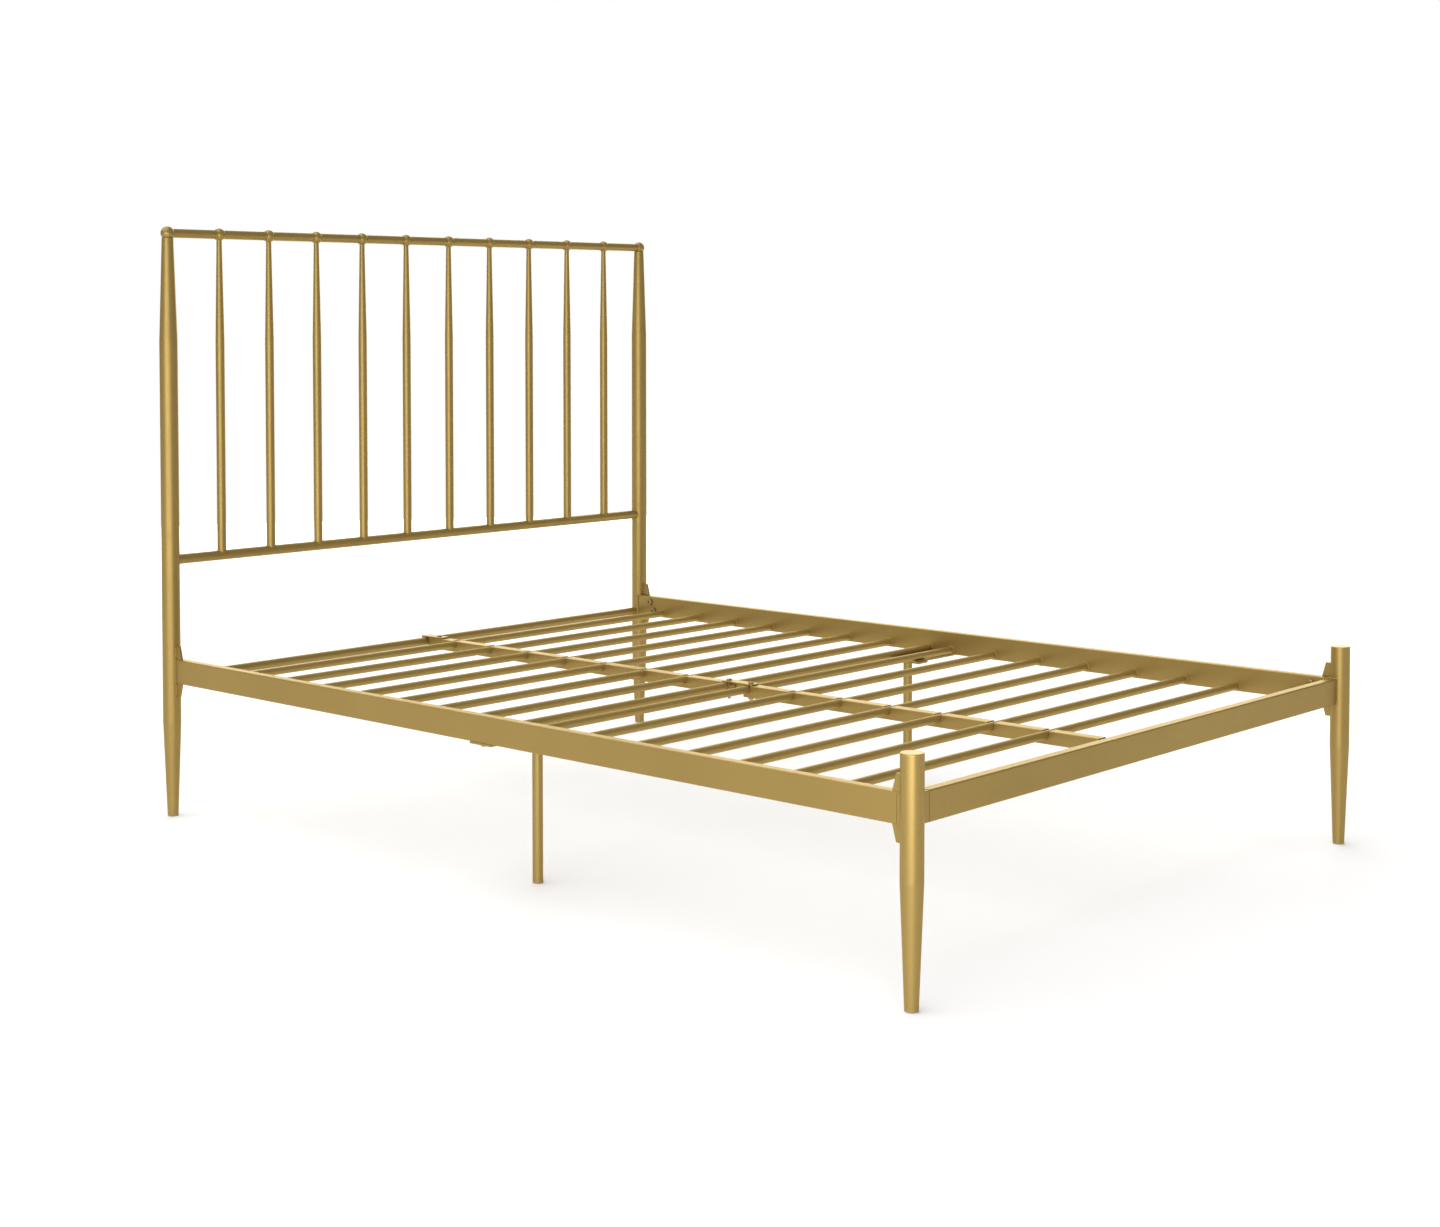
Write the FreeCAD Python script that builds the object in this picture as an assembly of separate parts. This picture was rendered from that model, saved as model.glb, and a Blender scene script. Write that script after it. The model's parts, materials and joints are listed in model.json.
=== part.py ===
import FreeCAD, Part
import os

# Metal bed frame for a 1372 x 1905 mm mattress, in millimetres.
# The origin is on the floor in the middle of the bed. +X is the right side seen from the
# foot end, +Y points to the headboard and +Z is up. "Left" is -X.
# The real tubes are hollow, so every tube here is hollow too.

os.makedirs("parts", exist_ok=True)
Vec = FreeCAD.Vector
AX = {"x": Vec(1, 0, 0), "y": Vec(0, 1, 0), "z": Vec(0, 0, 1)}

# Posts and legs
POST_X = 715.0              # post axis to the bed's middle plane, across
POST_Y = 980.0              # post axis to the bed's middle plane, along
POST_R = 19.0
POST_WALL = 1.5
POST_TOE_R = 11.5           # radius at the floor end
TOE_TAPER_TOP = 200.0       # the lower taper ends at this height
HEAD_TAPER_START = 1012.0   # the upper taper begins at this height
HEAD_POST_TOP = 1228.0
HEAD_POST_TOP_R = 12.2
FOOT_LEG_TOP = 397.0
CAP_HEIGHT = 3.0
GLIDE_HEIGHT = 4.0

# Headboard
BALL_R = 14.3               # ball that ends each head post
TOP_BAR_R, TOP_BAR_Z = 9.5, 1238.0
LOWER_BAR_R, LOWER_BAR_Z = 10.5, 546.0
BASE_BAR_R, BASE_BAR_Z = 9.5, 294.0
BAR_WALL = 1.2
SPINDLE_COUNT = 10
SPINDLE_R, SPINDLE_TIP_R = 9.5, 5.6
KNUCKLE_R, KNUCKLE_HALF_WIDTH = 13.5, 10.5

# Side and foot rails: rectangular tube
RAIL_THICK, RAIL_HIGH, RAIL_WALL, RAIL_CORNER = 20.0, 50.8, 1.5, 2.5
RAIL_BOTTOM = 285.2
RAIL_MID_Z = RAIL_BOTTOM + RAIL_HIGH / 2
SIDE_RAIL_X = 709.0         # middle plane of each side rail
SIDE_RAIL_END_Y = 953.0
FOOT_RAIL_Y = -973.0
FOOT_RAIL_END_X = 674.0
PLUG_GAP = 0.2              # play between a plug and the inside of its rail
PLUG_WALL = 2.5
SHOULDER_INSET = 0.5        # the shoulders between rail and post are this much smaller than the rail
GUSSET_THICK = 5.0
GUSSET_X = 714.0            # middle plane of the gusset plates
GUSSET_TIP = 37.5           # how far a gusset reaches from the post's axis, at the rail
GUSSET_END = 29.5           # the same at its blunt end
GUSSET_RISE = 28.5          # how far it goes above and below the rail

# Slat deck
SLAT_R, SLAT_WALL, SLAT_Z = 8.0, 1.2, 296.0
SLAT_END_X = 708.0
SLAT_Y = [30.0] + [148.0 + 121.8 * i for i in range(7)]   # each half of the deck
CENTRE_RAIL = 25.0          # square tube under the slats' middle
CENTRE_RAIL_TOP = 304.0
CENTRE_RAIL_HEAD_END = 969.0
CENTRE_RAIL_FOOT_END = 959.8
CENTRE_RAIL_INNER_END = 20.0
SUPPORT_X = 575.0
SUPPORT_R = 10.0
SADDLE_THICK = 4.0
SADDLE_HALF_Y = 28.5        # the saddle's arm under the side rail
STRAP_THICK = 3.0

JOINT_GAP = 0.1             # fit between a welded end and the tube it meets
HOLE_GAP = 0.15             # fit between a tube and the hole it passes through


def export(name, *solids):
    shape = solids[0] if len(solids) == 1 else Part.makeCompound(list(solids))
    shape.exportStep("parts/%s.step" % name)


def rod(radius, start, length, axis):
    """Solid cylinder from start, along a positive axis."""
    return Part.makeCylinder(radius, length, Vec(*start), AX[axis])


def tube(radius, wall, start, length, axis):
    return rod(radius, start, length, axis).cut(rod(radius - wall, start, length, axis))


def block(low, high):
    size = [b - a for a, b in zip(low, high)]
    return Part.makeBox(size[0], size[1], size[2], Vec(*low))


def round_long_edges(shape, radius, axis):
    """Round the edges that run along one axis."""
    along = [e for e in shape.Edges
             if abs((e.Vertexes[0].Point - e.Vertexes[-1].Point).normalize().dot(AX[axis])) > 0.99]
    return shape.makeFillet(radius, along)


def box_tube(low, high, wall, corner, axis):
    """Hollow rectangular tube, open at both ends."""
    outer = round_long_edges(block(low, high), corner, axis)
    free = "xyz".index(axis)
    inner_low = [v if i == free else v + wall for i, v in enumerate(low)]
    inner_high = [v if i == free else v - wall for i, v in enumerate(high)]
    inner = round_long_edges(block(inner_low, inner_high), max(corner - wall, 0.4), axis)
    return outer.cut(inner)


def turned_tube(profile, wall, x, y):
    """Round tube whose radius follows a list of (radius, height)."""
    outer = [Vec(r, 0, z) for r, z in profile]
    inner = [Vec(r - wall, 0, z) for r, z in reversed(profile)]
    face = Part.Face(Part.makePolygon(outer + inner + outer[:1]))
    solid = face.revolve(Vec(0, 0, 0), AX["z"], 360)
    solid.translate(Vec(x, y, 0))
    return solid


def mirrored(shape, axis):
    return shape.mirror(Vec(0, 0, 0), AX[axis])


def round_rim(shape, radius, height):
    """Round the circular edges that lie at one height."""
    rim = [e for e in shape.Edges if e.BoundBox.ZMin > height - 0.01 and e.BoundBox.ZMax < height + 0.01]
    return shape.makeFillet(radius, rim)


def hexagon(across_flats, start, length):
    radius = across_flats / 3 ** 0.5
    corners = [Vec(*start) + FreeCAD.Rotation(AX["z"], 60 * i).multVec(Vec(radius, 0, 0)) for i in range(7)]
    return Part.Face(Part.makePolygon(corners)).extrude(Vec(0, 0, length))


def button_bolt(thread_r, head_r, head_h, length):
    """Socket button-head bolt: thread below z = 0, head above."""
    head = round_rim(rod(head_r, (0, 0, 0), head_h, "z"), head_h * 0.6, head_h)
    head = head.cut(hexagon(thread_r * 1.25, (0, 0, head_h * 0.45), head_h))
    return head.fuse(rod(thread_r, (0, 0, -length), length, "z")).removeSplitter()


def washer(hole_r, outer_r, thick):
    return rod(outer_r, (0, 0, 0), thick, "z").cut(rod(hole_r, (0, 0, 0), thick, "z"))


def placed(shape, position, towards):
    """Turn a part made along +Z so that its top faces a direction, then move it."""
    copy = shape.copy()
    turn = FreeCAD.Rotation(AX["z"], Vec(*towards))
    copy.Placement = FreeCAD.Placement(Vec(*position), turn)
    return copy


# ---------------------------------------------------------------- posts and legs

def post_cutter(x, y, height=1300.0):
    """What a part that meets a post has to leave free."""
    return rod(POST_R + JOINT_GAP, (x, y, 0), height, "z")


def make_posts_and_legs():
    toe = [(POST_TOE_R, GLIDE_HEIGHT), (POST_R, TOE_TAPER_TOP)]
    head_profile = toe + [(POST_R, HEAD_TAPER_START), (HEAD_POST_TOP_R, HEAD_POST_TOP)]
    foot_profile = toe + [(POST_R, FOOT_LEG_TOP)]
    for side, x in (("left", -POST_X), ("right", POST_X)):
        export("head_post_" + side, turned_tube(head_profile, POST_WALL, x, POST_Y))
        export("foot_leg_" + side, turned_tube(foot_profile, POST_WALL, x, -POST_Y))

        plug_r = POST_R - POST_WALL - PLUG_GAP
        cap = rod(POST_R, (x, -POST_Y, FOOT_LEG_TOP), CAP_HEIGHT, "z")
        cap = round_rim(cap, 1.4, FOOT_LEG_TOP + CAP_HEIGHT)
        export("foot_leg_cap_" + side, cap.fuse(rod(plug_r, (x, -POST_Y, FOOT_LEG_TOP - 12), 12, "z")))

        # The ball stands on the post's rim and takes the end of the top bar.
        ball = Part.makeSphere(BALL_R, Vec(x, POST_Y, TOP_BAR_Z))
        ball = ball.common(block((x - 20, POST_Y - 20, HEAD_POST_TOP), (x + 20, POST_Y + 20, 1300)))
        plug_r = HEAD_POST_TOP_R - POST_WALL - PLUG_GAP
        ball = ball.fuse(rod(plug_r, (x, POST_Y, HEAD_POST_TOP - 12), 12, "z"))
        socket_start = x + 4 if x < 0 else x - 34
        socket = rod(TOP_BAR_R + HOLE_GAP, (socket_start, POST_Y, TOP_BAR_Z), 30, "x")
        export("head_finial_" + side, ball.cut(socket))


def glide(x, y, tube_outer_r, tube_inner_r):
    """Push-in foot: a disc on the floor and a plug inside the tube."""
    disc = rod(tube_outer_r, (x, y, 0), GLIDE_HEIGHT, "z")
    disc = round_rim(disc, 1.0, 0)
    return disc.fuse(rod(tube_inner_r - PLUG_GAP, (x, y, GLIDE_HEIGHT), 14, "z"))


def make_glides():
    posts = [glide(x, y, POST_TOE_R, POST_TOE_R - POST_WALL)
             for x in (-POST_X, POST_X) for y in (-POST_Y, POST_Y)]
    supports = [glide(x, 0, SUPPORT_R, SUPPORT_R - POST_WALL) for x in (-SUPPORT_X, SUPPORT_X)]
    export("floor_glides", *(posts + supports))


# ---------------------------------------------------------------- headboard

def make_headboard():
    bar_end = POST_X - 5
    export("headboard_top_bar", tube(TOP_BAR_R, BAR_WALL, (-bar_end, POST_Y, TOP_BAR_Z), 2 * bar_end, "x"))
    for name, radius, z in (("lower", LOWER_BAR_R, LOWER_BAR_Z), ("base", BASE_BAR_R, BASE_BAR_Z)):
        bar = tube(radius, BAR_WALL, (-POST_X + 2, POST_Y, z), 2 * POST_X - 4, "x")
        for x in (-POST_X, POST_X):
            bar = bar.cut(post_cutter(x, POST_Y))
        export("headboard_%s_bar" % name, bar)

    spacing = 2 * POST_X / (SPINDLE_COUNT + 1)
    tip_z = TOP_BAR_Z - TOP_BAR_R - 1.0
    profile = [(SPINDLE_R, LOWER_BAR_Z), (SPINDLE_R, HEAD_TAPER_START), (SPINDLE_TIP_R, tip_z)]
    saddle = rod(LOWER_BAR_R + JOINT_GAP, (-POST_X, POST_Y, LOWER_BAR_Z), 2 * POST_X, "x")
    knuckles = []
    for i in range(1, SPINDLE_COUNT + 1):
        x = -POST_X + spacing * i
        export("spindle_%02d" % i, turned_tube(profile, BAR_WALL, x, POST_Y).cut(saddle))
        bead = Part.makeSphere(KNUCKLE_R, Vec(x, POST_Y, TOP_BAR_Z))
        bead = bead.common(block((x - KNUCKLE_HALF_WIDTH, POST_Y - 20, TOP_BAR_Z - 20),
                                 (x + KNUCKLE_HALF_WIDTH, POST_Y + 20, TOP_BAR_Z + 20)))
        bead = bead.cut(rod(TOP_BAR_R + HOLE_GAP, (x - 20, POST_Y, TOP_BAR_Z), 40, "x"))
        bead = bead.cut(rod(SPINDLE_TIP_R + HOLE_GAP, (x, POST_Y, TOP_BAR_Z - 20), 20, "z"))
        knuckles.append(bead)
    export("spindle_knuckles", *knuckles)


# ---------------------------------------------------------------- side rails and foot rail

BOLT_R, SMALL_BOLT_R = 4.0, 3.0
RAIL_BOLT_Y = (925.0, 913.0)        # bolt positions along a side rail, from the middle
RAIL_BOLT_Z = (RAIL_MID_Z + 11, RAIL_MID_Z - 11)
FOOT_BOLT_X = (650.0, 632.0)


def make_side_rails():
    inner_x = SIDE_RAIL_X - RAIL_THICK / 2
    rail = box_tube((inner_x, -SIDE_RAIL_END_Y, RAIL_BOTTOM),
                    (inner_x + RAIL_THICK, SIDE_RAIL_END_Y, RAIL_BOTTOM + RAIL_HIGH),
                    RAIL_WALL, RAIL_CORNER, "y")
    for y in SLAT_Y:
        for sign in (1, -1):
            rail = rail.cut(rod(SLAT_R + HOLE_GAP, (inner_x - 5, sign * y, SLAT_Z), 10, "x"))
    slot_start = POST_Y - GUSSET_TIP - 0.5
    half_slot = GUSSET_THICK / 2 + 0.2
    for low_y, high_y in ((slot_start, SIDE_RAIL_END_Y + 1), (-SIDE_RAIL_END_Y - 1, -slot_start)):
        rail = rail.cut(block((GUSSET_X - half_slot, low_y, 200), (GUSSET_X + half_slot, high_y, 400)))
    rail = rail.cut(rod(SMALL_BOLT_R + 0.1, (SIDE_RAIL_X, 0, RAIL_BOTTOM - 5), 10, "z"))
    for sign in (1, -1):
        for y, z in zip(RAIL_BOLT_Y, RAIL_BOLT_Z):
            rail = rail.cut(rod(BOLT_R + 0.4, (inner_x - 5, sign * y, z), 10, "x"))
    export("side_rail_right", rail)
    export("side_rail_left", mirrored(rail, "x"))


def stepped_stub(start, shoulder, end, middle, axis):
    """Box stub: a plug inside the rail from start, and nearly the rail's own section past the shoulder."""
    pieces = []
    for inset, wall, low, high in ((RAIL_WALL + PLUG_GAP, PLUG_WALL, start, shoulder + PLUG_GAP),
                                   (SHOULDER_INSET, RAIL_WALL + PLUG_WALL, shoulder + PLUG_GAP, end)):
        half = RAIL_THICK / 2 - inset
        low_z, high_z = RAIL_BOTTOM + inset, RAIL_BOTTOM + RAIL_HIGH - inset
        if axis == "y":
            piece = box_tube((middle - half, low, low_z), (middle + half, high, high_z), wall, 1.0, "y")
        else:
            piece = box_tube((low, middle - half, low_z), (high, middle + half, high_z), wall, 1.0, "x")
        pieces.append(piece)
    return pieces[0].fuse(pieces[1]).removeSplitter()


def make_corner_brackets():
    """A gusset plate welded to each post, with a stepped box stub that fills the end of the side rail."""
    stub_start, post_face_y = 903.0, POST_Y - POST_R
    root_y, tip_y, blunt_y = POST_Y - 14, POST_Y - GUSSET_TIP, POST_Y - GUSSET_END
    bracket = stepped_stub(stub_start, SIDE_RAIL_END_Y, post_face_y + 12, SIDE_RAIL_X, "y")
    rail_top = RAIL_BOTTOM + RAIL_HIGH
    low_z, high_z = RAIL_BOTTOM - GUSSET_RISE, rail_top + GUSSET_RISE
    outline = [(tip_y, RAIL_BOTTOM), (blunt_y, low_z), (root_y, low_z),
               (root_y, high_z), (blunt_y, high_z), (tip_y, rail_top)]
    points = [Vec(GUSSET_X - GUSSET_THICK / 2, y, z) for y, z in outline]
    gusset = Part.Face(Part.makePolygon(points + points[:1])).extrude(Vec(GUSSET_THICK, 0, 0))
    bracket = bracket.fuse(gusset).removeSplitter()
    for y, z in zip(RAIL_BOLT_Y, RAIL_BOLT_Z):
        bracket = bracket.cut(rod(BOLT_R + HOLE_GAP, (SIDE_RAIL_X - 20, y, z), 25, "x"))
    bracket = bracket.cut(post_cutter(POST_X, POST_Y))
    foot = mirrored(bracket, "y")
    export("corner_bracket_head_right", bracket)
    export("corner_bracket_head_left", mirrored(bracket, "x"))
    export("corner_bracket_foot_right", foot)
    export("corner_bracket_foot_left", mirrored(foot, "x"))


def make_foot_rail():
    low_y, high_y = FOOT_RAIL_Y - RAIL_THICK / 2, FOOT_RAIL_Y + RAIL_THICK / 2
    rail = box_tube((-FOOT_RAIL_END_X, low_y, RAIL_BOTTOM),
                    (FOOT_RAIL_END_X, high_y, RAIL_BOTTOM + RAIL_HIGH), RAIL_WALL, RAIL_CORNER, "x")
    for x in FOOT_BOLT_X:
        for sign in (1, -1):
            rail = rail.cut(rod(BOLT_R + 0.4, (sign * x, high_y - 5, RAIL_MID_Z), 10, "y"))
    for x in (-10.0, 10.0):
        rail = rail.cut(rod(3.2, (x, high_y - 5, 320.0), 10, "y"))
    export("foot_rail", rail)

    stub_end = SIDE_RAIL_X - RAIL_THICK / 2         # clear of the side rail's bracket
    stub = stepped_stub(615.0, FOOT_RAIL_END_X, stub_end, FOOT_RAIL_Y, "x")
    stub = stub.cut(post_cutter(POST_X, -POST_Y))
    for x in FOOT_BOLT_X:
        stub = stub.cut(rod(BOLT_R + HOLE_GAP, (x, high_y - 8, RAIL_MID_Z), 12, "y"))
    export("foot_rail_stub_right", stub)
    export("foot_rail_stub_left", mirrored(stub, "x"))


def make_rail_bolts():
    bolt = button_bolt(BOLT_R, 7.0, 4.4, 8.0)
    ring = washer(BOLT_R + 0.2, 8.5, 1.4)
    pieces = []
    for side in (1, -1):
        face_x = side * (SIDE_RAIL_X - RAIL_THICK / 2)
        for end in (1, -1):
            for y, z in zip(RAIL_BOLT_Y, RAIL_BOLT_Z):
                pieces.append(placed(ring, (face_x, end * y, z), (-side, 0, 0)))
                pieces.append(placed(bolt, (face_x - side * 1.4, end * y, z), (-side, 0, 0)))
        face_y = FOOT_RAIL_Y + RAIL_THICK / 2
        for x in FOOT_BOLT_X:
            pieces.append(placed(ring, (side * x, face_y, RAIL_MID_Z), (0, 1, 0)))
            pieces.append(placed(bolt, (side * x, face_y + 1.4, RAIL_MID_Z), (0, 1, 0)))
    export("rail_bolts", *pieces)


# ---------------------------------------------------------------- slat deck

STRAP_HALF_LENGTH = 42.0
HOOK_START_Y, HOOK_BACK_Y = 925.0, 990.0
HOOK_BOLT_Y = 944.0
TONGUE_END_Y = -918.0
TONGUE_BOLT_Y = -934.0
TONGUE_TOP = CENTRE_RAIL_TOP - 1.5 - PLUG_GAP   # just under the centre rail's upper wall


def make_slats():
    rows = sorted(SLAT_Y + [-y for y in SLAT_Y], reverse=True)
    for number, y in enumerate(rows, start=1):
        slat = tube(SLAT_R, SLAT_WALL, (-SLAT_END_X, y, SLAT_Z), 2 * SLAT_END_X, "x")
        if abs(y) == SLAT_Y[0]:
            slat = slat.cut(rod(SMALL_BOLT_R + 0.2, (0, y, SLAT_Z - 20), 40, "z"))
            for x in (-SUPPORT_X, SUPPORT_X):
                slat = slat.cut(rod(SMALL_BOLT_R + 0.1, (x, y, SLAT_Z - 20), 20, "z"))
        export("slat_%02d" % number, slat)


def centre_rail_half(far_end):
    """Square tube from the middle of the bed to y = far_end, with a cradle for each slat."""
    half, low_z = CENTRE_RAIL / 2, CENTRE_RAIL_TOP - CENTRE_RAIL
    rail = box_tube((-half, CENTRE_RAIL_INNER_END, low_z), (half, far_end, CENTRE_RAIL_TOP), 1.5, 2.0, "y")
    cradle_r = SLAT_R + HOLE_GAP
    for y in SLAT_Y:
        rail = rail.cut(rod(cradle_r, (-half - 1, y, SLAT_Z), CENTRE_RAIL + 2, "x"))
        rail = rail.cut(block((-half - 1, y - cradle_r, SLAT_Z), (half + 1, y + cradle_r, 320)))
    return rail.cut(rod(SMALL_BOLT_R + 0.2, (0, SLAT_Y[0], low_z - 5), 10, "z"))


def make_centre_rails():
    head = centre_rail_half(CENTRE_RAIL_HEAD_END)
    foot = mirrored(centre_rail_half(CENTRE_RAIL_FOOT_END), "y")
    for name, rail, y in (("head", head, HOOK_BOLT_Y), ("foot", foot, TONGUE_BOLT_Y)):
        rail = rail.cut(rod(SMALL_BOLT_R + 0.1, (0, y, CENTRE_RAIL_TOP - 5), 10, "z"))
        export("centre_rail_" + name, rail)


def make_centre_joints():
    half, top, low_z = CENTRE_RAIL / 2, CENTRE_RAIL_TOP, CENTRE_RAIL_TOP - CENTRE_RAIL
    # Hook over the headboard's base bar.
    hook = block((-half, HOOK_START_Y, top), (half, HOOK_BACK_Y + STRAP_THICK, top + STRAP_THICK))
    hook = hook.fuse(block((-half, HOOK_BACK_Y, 284), (half, HOOK_BACK_Y + STRAP_THICK, top + STRAP_THICK)))
    hook = hook.removeSplitter().cut(rod(SMALL_BOLT_R + 0.2, (0, HOOK_BOLT_Y, top), 10, "z"))
    export("centre_hook_head", hook)

    # Strap that ties the two halves of the deck together.
    strap = block((-half, -STRAP_HALF_LENGTH, top), (half, STRAP_HALF_LENGTH, top + STRAP_THICK))
    strap = round_long_edges(strap, 4.0, "z")
    for y in (-SLAT_Y[0], SLAT_Y[0]):
        strap = strap.cut(rod(SMALL_BOLT_R + 0.2, (0, y, top), 10, "z"))
    export("centre_strap_middle", strap)

    # Plate on the foot rail, with a tongue that goes into the other end.
    face_y = FOOT_RAIL_Y + RAIL_THICK / 2
    angle = block((-20, face_y, 290), (20, face_y + STRAP_THICK, 330))
    tongue = block((-half + 3, face_y, TONGUE_TOP - STRAP_THICK), (half - 3, TONGUE_END_Y, TONGUE_TOP))
    angle = angle.fuse(tongue).removeSplitter()
    angle = angle.cut(rod(SMALL_BOLT_R + 0.1, (0, TONGUE_BOLT_Y, TONGUE_TOP - 5), 10, "z"))
    for x in (-10.0, 10.0):
        angle = angle.cut(rod(SMALL_BOLT_R + 0.2, (x, face_y - 1, 320.0), 10, "y"))
    export("centre_angle_foot", angle)


def make_support_legs():
    """A leg on each side, screwed to a plate that carries two slats and is bolted under the side rail."""
    plate_low, plate_top, pad_top = RAIL_BOTTOM - SADDLE_THICK, RAIL_BOTTOM, SLAT_Z - SLAT_R
    saddle = block((SUPPORT_X - 18, -44, plate_low), (SUPPORT_X + 18, 44, plate_top))
    saddle = round_long_edges(saddle, 4.0, "z")
    arm = block((SUPPORT_X, -SADDLE_HALF_Y, plate_low), (SIDE_RAIL_X + 9.5, SADDLE_HALF_Y, plate_top))
    saddle = saddle.fuse(arm)
    for y in (-SLAT_Y[0], SLAT_Y[0]):
        saddle = saddle.fuse(block((SUPPORT_X - 18, y - 7, plate_top), (SUPPORT_X + 18, y + 7, pad_top)))
    saddle = saddle.removeSplitter().cut(rod(BOLT_R + 0.2, (SUPPORT_X, 0, plate_low - 1), 10, "z"))
    saddle = saddle.cut(rod(SMALL_BOLT_R + 0.2, (SIDE_RAIL_X, 0, plate_low - 1), 10, "z"))
    for y in (-SLAT_Y[0], SLAT_Y[0]):
        saddle = saddle.cut(rod(SMALL_BOLT_R + 0.2, (SUPPORT_X, y, plate_low - 1), 10, "z"))
    export("support_saddle_right", saddle)
    export("support_saddle_left", mirrored(saddle, "x"))

    for side, x in (("left", -SUPPORT_X), ("right", SUPPORT_X)):
        leg = tube(SUPPORT_R, POST_WALL, (x, 0, GLIDE_HEIGHT), plate_low - GLIDE_HEIGHT, "z")
        leg = leg.fuse(rod(SUPPORT_R - 1.0, (x, 0, plate_low - 6), 6, "z"))
        leg = leg.fuse(rod(BOLT_R, (x, 0, plate_low), 12, "z")).removeSplitter()
        export("support_leg_" + side, leg)


def make_deck_bolts():
    """Bolts and nuts of the centre rail's joints and of the support saddles."""
    long_bolt = button_bolt(SMALL_BOLT_R, 5.5, 3.4, 38.0)
    short_bolt = button_bolt(SMALL_BOLT_R, 5.5, 3.4, 8.0)
    nut = hexagon(10.0, (0, 0, 0), 5.0).cut(rod(SMALL_BOLT_R + 0.1, (0, 0, -1), 10, "z"))
    leg_nut = hexagon(13.0, (0, 0, 0), 6.0).cut(rod(BOLT_R + 0.1, (0, 0, -1), 10, "z"))
    up, down = (0, 0, 1), (0, 0, -1)
    strap_top, low_z = CENTRE_RAIL_TOP + STRAP_THICK, CENTRE_RAIL_TOP - CENTRE_RAIL
    plate_low = RAIL_BOTTOM - SADDLE_THICK
    pieces = [placed(short_bolt, (0, HOOK_BOLT_Y, strap_top), up),
              placed(short_bolt, (0, TONGUE_BOLT_Y, CENTRE_RAIL_TOP), up)]
    for x in (-10.0, 10.0):
        pieces.append(placed(short_bolt, (x, FOOT_RAIL_Y + RAIL_THICK / 2 + STRAP_THICK, 320.0), (0, 1, 0)))
    for y in (-SLAT_Y[0], SLAT_Y[0]):
        pieces.append(placed(long_bolt, (0, y, strap_top), up))
        pieces.append(placed(nut, (0, y, low_z - 5.0), up))
        for x in (-SUPPORT_X, SUPPORT_X):
            pieces.append(placed(short_bolt, (x, y, plate_low), down))
    for side in (1, -1):
        pieces.append(placed(leg_nut, (side * SUPPORT_X, 0, RAIL_BOTTOM), up))
        pieces.append(placed(short_bolt, (side * SIDE_RAIL_X, 0, plate_low), down))
    export("deck_bolts", *pieces)


make_posts_and_legs()
make_glides()
make_headboard()
make_side_rails()
make_corner_brackets()
make_foot_rail()
make_rail_bolts()
make_slats()
make_centre_rails()
make_centre_joints()
make_support_legs()
make_deck_bolts()
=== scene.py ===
import json
import math

import bmesh
import bpy
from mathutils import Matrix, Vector, noise


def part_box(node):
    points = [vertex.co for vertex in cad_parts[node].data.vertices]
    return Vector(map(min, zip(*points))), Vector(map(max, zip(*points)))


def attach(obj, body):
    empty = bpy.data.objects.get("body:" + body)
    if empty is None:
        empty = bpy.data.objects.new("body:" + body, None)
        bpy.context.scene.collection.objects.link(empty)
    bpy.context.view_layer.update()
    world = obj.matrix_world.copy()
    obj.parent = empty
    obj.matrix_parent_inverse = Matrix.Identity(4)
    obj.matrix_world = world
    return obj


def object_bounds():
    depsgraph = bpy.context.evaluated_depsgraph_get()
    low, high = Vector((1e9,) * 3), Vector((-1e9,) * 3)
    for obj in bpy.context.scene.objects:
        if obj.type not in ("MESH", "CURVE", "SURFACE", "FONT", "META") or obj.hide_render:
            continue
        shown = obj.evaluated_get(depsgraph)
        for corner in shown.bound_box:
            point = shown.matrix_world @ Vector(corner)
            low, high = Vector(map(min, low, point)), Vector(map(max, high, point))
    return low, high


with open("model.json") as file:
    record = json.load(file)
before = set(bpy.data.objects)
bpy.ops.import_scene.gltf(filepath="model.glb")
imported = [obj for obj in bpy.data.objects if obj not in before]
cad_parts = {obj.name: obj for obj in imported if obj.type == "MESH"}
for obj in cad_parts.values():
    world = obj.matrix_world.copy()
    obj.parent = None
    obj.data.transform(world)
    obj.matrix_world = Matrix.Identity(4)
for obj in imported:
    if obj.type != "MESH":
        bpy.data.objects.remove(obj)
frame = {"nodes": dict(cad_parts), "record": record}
cad_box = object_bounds()

# Everything is in metres. The bed lies with its head at +Y and its left side at -X.
MM = 0.001
GROUND_Z = cad_box[0].z


# ---------------------------------------------------------------- measures taken from the frame

def centre(node):
    low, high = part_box(node)
    return (low + high) / 2


def radius(node, axis):
    """Half of a node's extent along one axis: a tube's radius, across its length."""
    low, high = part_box(node)
    return (high[axis] - low[axis]) / 2


POST_X = centre("head_post_right").x
POST_Y = centre("head_post_right").y
POST_R = radius("head_post_right", 0)
RAIL_LOW, RAIL_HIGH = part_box("side_rail_right")[0].z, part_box("side_rail_right")[1].z
RAIL_HALF_THICK = radius("side_rail_right", 0)
RAIL_INNER_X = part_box("side_rail_right")[0].x
SLATS = sorted(n for n in frame["nodes"] if n.startswith("slat_"))
SPINDLES = sorted(n for n in frame["nodes"] if n.startswith("spindle_") and n[-1].isdigit())


# ---------------------------------------------------------------- materials

def new_material(name):
    material = bpy.data.materials.new(name)
    material.use_nodes = True
    nodes, links = material.node_tree.nodes, material.node_tree.links
    shader = nodes["Principled BSDF"]
    position = nodes.new("ShaderNodeTexCoord").outputs["Object"]
    return material, nodes, links, shader, position


def noise_value(nodes, links, position, scale, detail, roughness=0.5):
    """Noise in object space. The scale is in cycles per metre."""
    texture = nodes.new("ShaderNodeTexNoise")
    texture.inputs["Scale"].default_value = scale
    texture.inputs["Detail"].default_value = detail
    texture.inputs["Roughness"].default_value = roughness
    links.new(position, texture.inputs["Vector"])
    return texture.outputs["Fac"]


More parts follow.
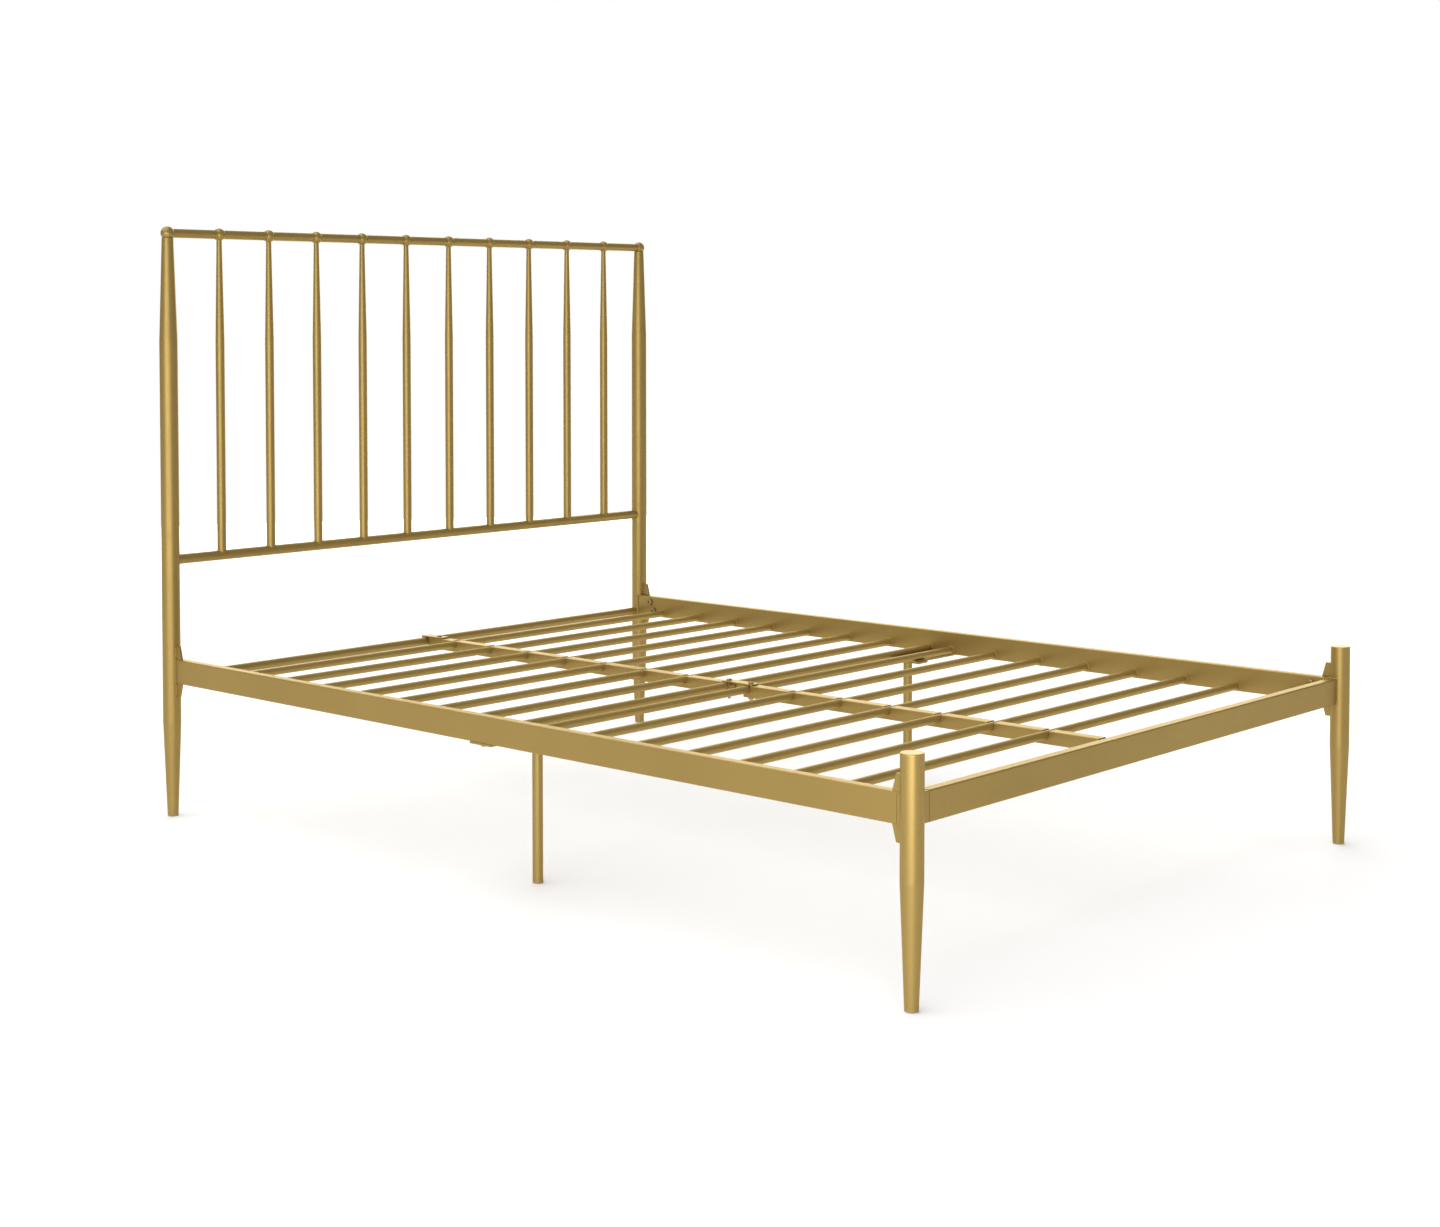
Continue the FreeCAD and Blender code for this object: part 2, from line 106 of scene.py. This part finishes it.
def ramp(nodes, links, value, stops):
    """Colour ramp from two stops, each a (position, colour)."""
    node = nodes.new("ShaderNodeValToRGB")
    links.new(value, node.inputs["Fac"])
    for element, (place, colour) in zip(node.color_ramp.elements, stops):
        element.position = place
        element.color = (*colour, 1.0)
    return node.outputs["Color"]


def remap(nodes, links, value, low, high):
    node = nodes.new("ShaderNodeMapRange")
    node.inputs["To Min"].default_value = low
    node.inputs["To Max"].default_value = high
    links.new(value, node.inputs["Value"])
    return node.outputs["Result"]


def add_bumps(nodes, links, shader, layers):
    """Stack bump layers, each a (height, strength, distance in metres)."""
    normal = None
    for height, strength, distance in layers:
        bump = nodes.new("ShaderNodeBump")
        bump.inputs["Strength"].default_value = strength
        bump.inputs["Distance"].default_value = distance
        links.new(height, bump.inputs["Height"])
        if normal:
            links.new(normal, bump.inputs["Normal"])
        normal = bump.outputs["Normal"]
    links.new(normal, shader.inputs["Normal"])


def scaled(colour, factor):
    return tuple(c * factor for c in colour)


EDGE_TINT = (1.0, 0.88, 0.60, 1.0)      # keeps the paint golden where it is seen at a slant


def gold_paint(name, colour, metallic=0.70, rough=(0.36, 0.45)):
    """Satin gold powder coat: fine orange peel, metal flake mottle, slow drift in tone."""
    material, nodes, links, shader, position = new_material(name)
    drift = noise_value(nodes, links, position, 3.5, 3.0)
    flake = noise_value(nodes, links, position, 900.0, 2.0, 0.7)
    slow = ramp(nodes, links, drift, [(0.30, scaled(colour, 0.95)), (0.70, scaled(colour, 1.05))])
    mottle = ramp(nodes, links, flake, [(0.35, (0.90, 0.90, 0.88)), (0.65, (1.06, 1.06, 1.08))])
    mix = nodes.new("ShaderNodeMix")
    mix.data_type = "RGBA"
    mix.blend_type = "MULTIPLY"
    mix.inputs["Factor"].default_value = 1.0
    links.new(slow, mix.inputs["A"])
    links.new(mottle, mix.inputs["B"])
    links.new(mix.outputs["Result"], shader.inputs["Base Color"])
    gloss = noise_value(nodes, links, position, 45.0, 4.0)
    links.new(remap(nodes, links, gloss, *rough), shader.inputs["Roughness"])
    peel = noise_value(nodes, links, position, 420.0, 1.5)
    grit = noise_value(nodes, links, position, 1600.0, 1.0)
    add_bumps(nodes, links, shader, [(peel, 0.15, 0.12 * MM), (grit, 0.20, 0.03 * MM)])
    shader.inputs["Metallic"].default_value = metallic
    shader.inputs["Specular Tint"].default_value = EDGE_TINT
    return material


def plated_steel(name, colour):
    """Dull yellow zinc plate: cloudy tint and fine turning marks."""
    material, nodes, links, shader, position = new_material(name)
    cloud = noise_value(nodes, links, position, 160.0, 3.0)
    tint = ramp(nodes, links, cloud, [(0.3, scaled(colour, 0.80)), (0.7, scaled(colour, 1.12))])
    links.new(tint, shader.inputs["Base Color"])
    marks = noise_value(nodes, links, position, 700.0, 2.0)
    links.new(remap(nodes, links, marks, 0.38, 0.54), shader.inputs["Roughness"])
    add_bumps(nodes, links, shader, [(marks, 0.3, 0.04 * MM)])
    shader.inputs["Metallic"].default_value = 1.0
    return material


def moulded_plastic(name, colour):
    """Matte moulded plastic with a spark-eroded grain and scuffs."""
    material, nodes, links, shader, position = new_material(name)
    cloud = noise_value(nodes, links, position, 60.0, 4.0)
    tint = ramp(nodes, links, cloud, [(0.35, scaled(colour, 0.88)), (0.75, scaled(colour, 1.10))])
    links.new(tint, shader.inputs["Base Color"])
    grain = noise_value(nodes, links, position, 1200.0, 2.0, 0.6)
    links.new(remap(nodes, links, grain, 0.52, 0.70), shader.inputs["Roughness"])
    add_bumps(nodes, links, shader, [(grain, 0.4, 0.05 * MM)])
    return material


def studio_floor(name):
    """Pale matte floor with a barely visible unevenness."""
    material, nodes, links, shader, position = new_material(name)
    cloud = noise_value(nodes, links, position, 0.8, 3.0)
    tint = ramp(nodes, links, cloud, [(0.3, (0.96, 0.96, 0.96)), (0.7, (0.99, 0.99, 0.99))])
    links.new(tint, shader.inputs["Base Color"])
    grain = noise_value(nodes, links, position, 260.0, 2.0)
    links.new(remap(nodes, links, grain, 0.75, 0.90), shader.inputs["Roughness"])
    shader.inputs["Specular IOR Level"].default_value = 0.1
    return material


GOLD = (0.345, 0.236, 0.072)
FRAME_PAINT = gold_paint("frame_paint_satin", GOLD)
# The slats' gold is the frame's gold made 12% lighter: painted light, standing in for the light the
# floor throws up under the slats.
SLAT_PAINT_PAINTED_LIGHT = gold_paint("slat_paint_satin_painted_light", scaled(GOLD, 1.12), rough=(0.43, 0.53))
CAP_PAINT = gold_paint("cap_paint_satin", scaled(GOLD, 1.08), metallic=0.65, rough=(0.26, 0.36))
BOLT_STEEL = plated_steel("bolt_yellow_zinc", (0.36, 0.26, 0.10))
GLIDE_PLASTIC = moulded_plastic("glide_plastic_tan", (0.30, 0.23, 0.11))

SLOT_MATERIAL = {
    "frame_paint": FRAME_PAINT,
    "slat_paint": SLAT_PAINT_PAINTED_LIGHT,
    "cap_metal": CAP_PAINT,
    "bolt_steel": BOLT_STEEL,
    "glide_plastic": GLIDE_PLASTIC,
}


def paint_cad_nodes():
    slot_of = {part["node"]: part["material_slot"] for part in frame["record"]["subparts"]}
    for name, node in frame["nodes"].items():
        for slot in node.material_slots:
            slot.material = SLOT_MATERIAL[slot_of[name]]


# ---------------------------------------------------------------- weld beads

BEAD_SIDES = 8
BEAD_STEP = 1.1 * MM            # distance between the rings of a bead
RIPPLE_LENGTH = 2.6 * MM
RIPPLE_DEPTH, UNEVENNESS = 0.07, 0.10       # both as shares of the bead's radius
UNEVEN_SCALE = 400.0            # cycles per metre
END_SHARE, END_RINGS = 0.25, 3  # an open bead starts this thin, and is full this many rings on
BEAD_OFFSET = 0.3 * MM          # how far a bead's middle stands off the tube or stub it is laid on
SLAT_BEAD_OFFSET = 0.4 * MM     # the same for a slat
RAIL_FACE_OFFSET = 0.2 * MM     # how far a slat's bead stands off the rail's inner face
SPINDLE_BEAD, SLAT_BEAD, POST_BEAD = 1.3 * MM, 1.2 * MM, 1.5 * MM       # bead radii
GUSSET_INSET = 1.0 * MM         # from the post's axis inwards to a gusset's middle plane
GUSSET_FACE = 2.9 * MM          # from that plane to the middle of its beads
GUSSET_END = 2.0 * MM           # a gusset's beads stop this short of its ends


def resample(path, closed):
    """Points evenly spaced along a path, about one bead step apart."""
    points = path + path[:1] if closed else path
    lengths = [(b - a).length for a, b in zip(points, points[1:])]
    total = sum(lengths)
    count = max(8, round(total / BEAD_STEP))
    result, segment, walked = [], 0, 0.0
    for i in range(count if closed else count + 1):
        target = total * i / count
        while segment < len(lengths) - 1 and walked + lengths[segment] < target:
            walked += lengths[segment]
            segment += 1
        share = (target - walked) / lengths[segment] if lengths[segment] else 0.0
        result.append(points[segment].lerp(points[segment + 1], min(share, 1.0)))
    return result


def add_bead(mesh, path, size, closed=True):
    """Sweep a rippled round section along a path and add it to a bmesh."""
    points = resample(path, closed)
    count = len(points)
    ripples = max(1, round(count * BEAD_STEP / RIPPLE_LENGTH))
    rings = []
    for i, point in enumerate(points):
        if closed:
            ahead, behind = points[(i + 1) % count], points[i - 1]
        else:
            ahead, behind = points[min(i + 1, count - 1)], points[max(i - 1, 0)]
        along = (ahead - behind).normalized()
        side = along.orthogonal() if i == 0 else side - along * side.dot(along)
        side.normalize()
        up = along.cross(side)
        ripple = 1.0 + RIPPLE_DEPTH * math.cos(2 * math.pi * ripples * i / count)
        uneven = 1.0 + UNEVENNESS * noise.noise(point * UNEVEN_SCALE)
        from_end = min(i, count - 1 - i)
        taper = 1.0 if closed else min(1.0, END_SHARE + (1 - END_SHARE) * from_end / END_RINGS)
        bead_r = size * ripple * uneven * taper
        ring = []
        for k in range(BEAD_SIDES):
            angle = 2 * math.pi * k / BEAD_SIDES
            outward = side * math.cos(angle) + up * math.sin(angle)
            ring.append(mesh.verts.new(point + outward * bead_r))
        rings.append(ring)
    pairs = list(zip(rings, rings[1:]))
    if closed:
        # The frame may have turned on the way round, so the last ring joins the nearest corners.
        shift = min(range(BEAD_SIDES), key=lambda s: (rings[0][s].co - rings[-1][0].co).length)
        pairs.append((rings[-1], rings[0][shift:] + rings[0][:shift]))
    for first, second in pairs:
        for k in range(BEAD_SIDES):
            following = (k + 1) % BEAD_SIDES
            mesh.faces.new((first[k], first[following], second[following], second[k]))
    if not closed:
        mesh.faces.new(list(reversed(rings[0])))
        mesh.faces.new(rings[-1])


def bead_piece(name, beads, material):
    """One object from a list of (path, size, closed)."""
    mesh = bmesh.new()
    for path, size, closed in beads:
        add_bead(mesh, path, size, closed)
    bmesh.ops.recalc_face_normals(mesh, faces=mesh.faces)
    for face in mesh.faces:
        face.smooth = True
    data = bpy.data.meshes.new(name)
    mesh.to_mesh(data)
    mesh.free()
    piece = bpy.data.objects.new(name, data)
    bpy.context.scene.collection.objects.link(piece)
    data.materials.append(material)
    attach(piece, "root")


def circle_angles(count=48):
    return [2 * math.pi * i / count for i in range(count)]


def ring_on_bar(x, y, z, tube_r, bar_r):
    """Where an upright tube stands on a bar that runs along X."""
    return [Vector((x + tube_r * math.cos(a), y + tube_r * math.sin(a),
                    z + math.sqrt(bar_r ** 2 - (tube_r * math.sin(a)) ** 2)))
            for a in circle_angles()]


def ring_on_post(post_x, post_y, z, tube_r, side):
    """Where a bar along X meets an upright post, on the side (+1 or -1) that faces it."""
    return [Vector((post_x + side * math.sqrt(POST_R ** 2 - (tube_r * math.cos(a)) ** 2),
                    post_y + tube_r * math.cos(a), z + tube_r * math.sin(a)))
            for a in circle_angles()]


def ring_about_x(middle, ring_r):
    """Circle in a plane square to the X axis."""
    return [middle + Vector((0, ring_r * math.cos(a), ring_r * math.sin(a)))
            for a in circle_angles()]


def headboard_welds():
    beads = []
    bar = centre("headboard_lower_bar")
    bar_r = radius("headboard_lower_bar", 2)
    for name in SPINDLES:
        path = ring_on_bar(centre(name).x, bar.y, bar.z, radius(name, 0) + BEAD_OFFSET, bar_r)
        beads.append((path, SPINDLE_BEAD, True))
    for node in ("headboard_lower_bar", "headboard_base_bar"):
        tube_r = radius(node, 2)
        for side in (-1, 1):
            path = ring_on_post(side * POST_X, POST_Y, centre(node).z, tube_r + BEAD_OFFSET, -side)
            beads.append((path, POST_BEAD, True))
    bead_piece("headboard_weld_beads", beads, FRAME_PAINT)


def slat_welds():
    beads = []
    for name in SLATS:
        middle = centre(name)
        for side in (-1, 1):
            place = Vector((side * (RAIL_INNER_X - RAIL_FACE_OFFSET), middle.y, middle.z))
            path = ring_about_x(place, radius(name, 2) + SLAT_BEAD_OFFSET)
            beads.append((path, SLAT_BEAD, True))
    # The slats' beads take the slats' lightened gold, with its painted light.
    bead_piece("slat_weld_beads", beads, SLAT_PAINT_PAINTED_LIGHT)


def post_depth(offset):
    """How far the post's surface lies from the plane through its axis, at a sideways offset."""
    return math.sqrt(POST_R ** 2 - offset ** 2)


def rectangle(low_a, high_a, low_b, high_b, steps=8):
    """Points round a rectangle, with extra ones along the sides where a varies."""
    shares = [i / steps for i in range(steps)]
    lower = [(low_a + (high_a - low_a) * t, low_b) for t in shares]
    upper = [(high_a + (low_a - high_a) * t, high_b) for t in shares]
    return lower + [(high_a, low_b)] + upper + [(low_a, high_b)]


def corner_welds():
    """Gussets above and below each rail, and the rails' box stubs, to the posts and legs."""
    beads = []
    rail_x = centre("side_rail_right").x
    half = RAIL_HALF_THICK
    for node in sorted(n for n in frame["nodes"] if n.startswith("corner_bracket")):
        low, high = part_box(node)
        side = 1 if high.x > 0 else -1
        end = 1 if high.y > 0 else -1
        for face in (-GUSSET_FACE, GUSSET_FACE):
            x = POST_X - GUSSET_INSET + face
            y = POST_Y - post_depth(x - POST_X)
            for start, stop in ((low.z + GUSSET_END, RAIL_LOW), (RAIL_HIGH, high.z - GUSSET_END)):
                path = [Vector((side * x, end * y, z)) for z in (start, stop)]
                beads.append((path, POST_BEAD, False))
        path = [Vector((side * x, end * (POST_Y - post_depth(x - POST_X)), z))
                for x, z in rectangle(rail_x - half, rail_x + half, RAIL_LOW, RAIL_HIGH)]
        beads.append((path, POST_BEAD, True))

    # The foot rail's stub ends partly at the leg and partly at the side rail's bracket.
    rail_y = -centre("foot_rail").y
    stub_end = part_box("foot_rail_stub_right")[1].x
    for side in (-1, 1):
        path = [Vector((side * min(POST_X - post_depth(POST_Y - y), stub_end + BEAD_OFFSET), -y, z))
                for y, z in rectangle(rail_y - half, rail_y + half, RAIL_LOW, RAIL_HIGH)]
        beads.append((path, POST_BEAD, True))
    bead_piece("corner_weld_beads", beads, FRAME_PAINT)


# ---------------------------------------------------------------- studio

FLOOR_R = 7.0
FLOOR_GAP = 0.1 * MM            # keeps the floor just under the glides
WORLD_LIGHT = 0.42
SKY_POWER, SKY_SPREAD = 1.9, 80.0           # the spread is in degrees
CAMERA_PLACE = (-3.3849, -2.9799, 1.0725)
CAMERA_HEADING, CAMERA_TILT = 48.079, 2.244     # degrees from +Y towards +X, and downwards
CAMERA_LENS, SENSOR_WIDTH = 54.79, 36.0         # millimetres
CAMERA_SHIFT = (0.0009, -0.15)


def make_floor():
    mesh = bmesh.new()
    bmesh.ops.create_circle(mesh, cap_ends=True, segments=96, radius=FLOOR_R)
    data = bpy.data.meshes.new("studio_floor")
    mesh.to_mesh(data)
    mesh.free()
    floor = bpy.data.objects.new("studio_floor", data)
    floor.location.z = GROUND_Z - FLOOR_GAP
    bpy.context.scene.collection.objects.link(floor)
    data.materials.append(studio_floor("studio_floor_pale"))


def add_lamp(name, light, place, target):
    lamp = bpy.data.objects.new(name, light)
    lamp.location = place
    lamp.visible_camera = False
    lamp.rotation_euler = (Vector(target) - Vector(place)).to_track_quat("-Z", "Y").to_euler()
    bpy.context.scene.collection.objects.link(lamp)


def area_light(name, place, target, size, power):
    light = bpy.data.lights.new(name, "AREA")
    light.shape = "RECTANGLE"
    light.size, light.size_y = size
    light.energy = power
    add_lamp(name, light, place, target)


def make_world():
    """White behind the object, and a dimmer, even light on it."""
    world = bpy.data.worlds.new("studio_world")
    bpy.context.scene.world = world
    world.use_nodes = True
    nodes, links = world.node_tree.nodes, world.node_tree.links
    seen, lighting = nodes["Background"], nodes.new("ShaderNodeBackground")
    seen.inputs["Color"].default_value = (1.0, 1.0, 1.0, 1.0)
    seen.inputs["Strength"].default_value = 1.0
    lighting.inputs["Color"].default_value = (1.0, 1.0, 1.0, 1.0)
    lighting.inputs["Strength"].default_value = WORLD_LIGHT
    mix = nodes.new("ShaderNodeMixShader")
    links.new(nodes.new("ShaderNodeLightPath").outputs["Is Camera Ray"], mix.inputs["Fac"])
    links.new(lighting.outputs["Background"], mix.inputs[1])
    links.new(seen.outputs["Background"], mix.inputs[2])
    links.new(mix.outputs["Shader"], nodes["World Output"].inputs["Surface"])


def light_studio():
    """A very soft light from above, three panels on the camera's side and a wide one behind."""
    make_world()
    sky = bpy.data.lights.new("soft_sky", "SUN")
    sky.energy = SKY_POWER
    sky.angle = math.radians(SKY_SPREAD)
    add_lamp("soft_sky", sky, (-1.4, 1.3, 4.0), (0.0, 0.0, 0.0))
    # place, target, width and height in metres, power in watts
    area_light("front_panel", (-4.7, -4.0, 0.8), (-0.7, -0.4, 0.6), (2.8, 2.2), 64.0)
    area_light("low_front_panel", (-2.15, -2.06, 0.16), (-0.7, -1.0, 0.08), (1.2, 0.5), 9.5)
    area_light("left_panel", (-6.0, -1.4, 1.1), (0.0, 0.8, 0.6), (3.4, 2.2), 92.0)
    area_light("back_panel", (4.6, 4.6, 2.4), (0.0, 0.0, 0.4), (8.0, 4.4), 260.0)


def place_camera():
    """A view from the foot end's left, from a little under the headboard's top."""
    data = bpy.data.cameras.new("camera")
    camera = bpy.data.objects.new("camera", data)
    camera.location = CAMERA_PLACE
    heading, tilt = math.radians(CAMERA_HEADING), math.radians(CAMERA_TILT)
    camera.rotation_euler = (math.pi / 2 - tilt, 0.0, -heading)
    data.sensor_width = SENSOR_WIDTH
    data.lens = CAMERA_LENS
    data.shift_x, data.shift_y = CAMERA_SHIFT
    data.clip_end = 200.0
    bpy.context.scene.collection.objects.link(camera)
    bpy.context.scene.camera = camera


bpy.context.scene.view_settings.view_transform = "Standard"
paint_cad_nodes()
headboard_welds()
slat_welds()
corner_welds()
make_floor()
light_studio()
place_camera()
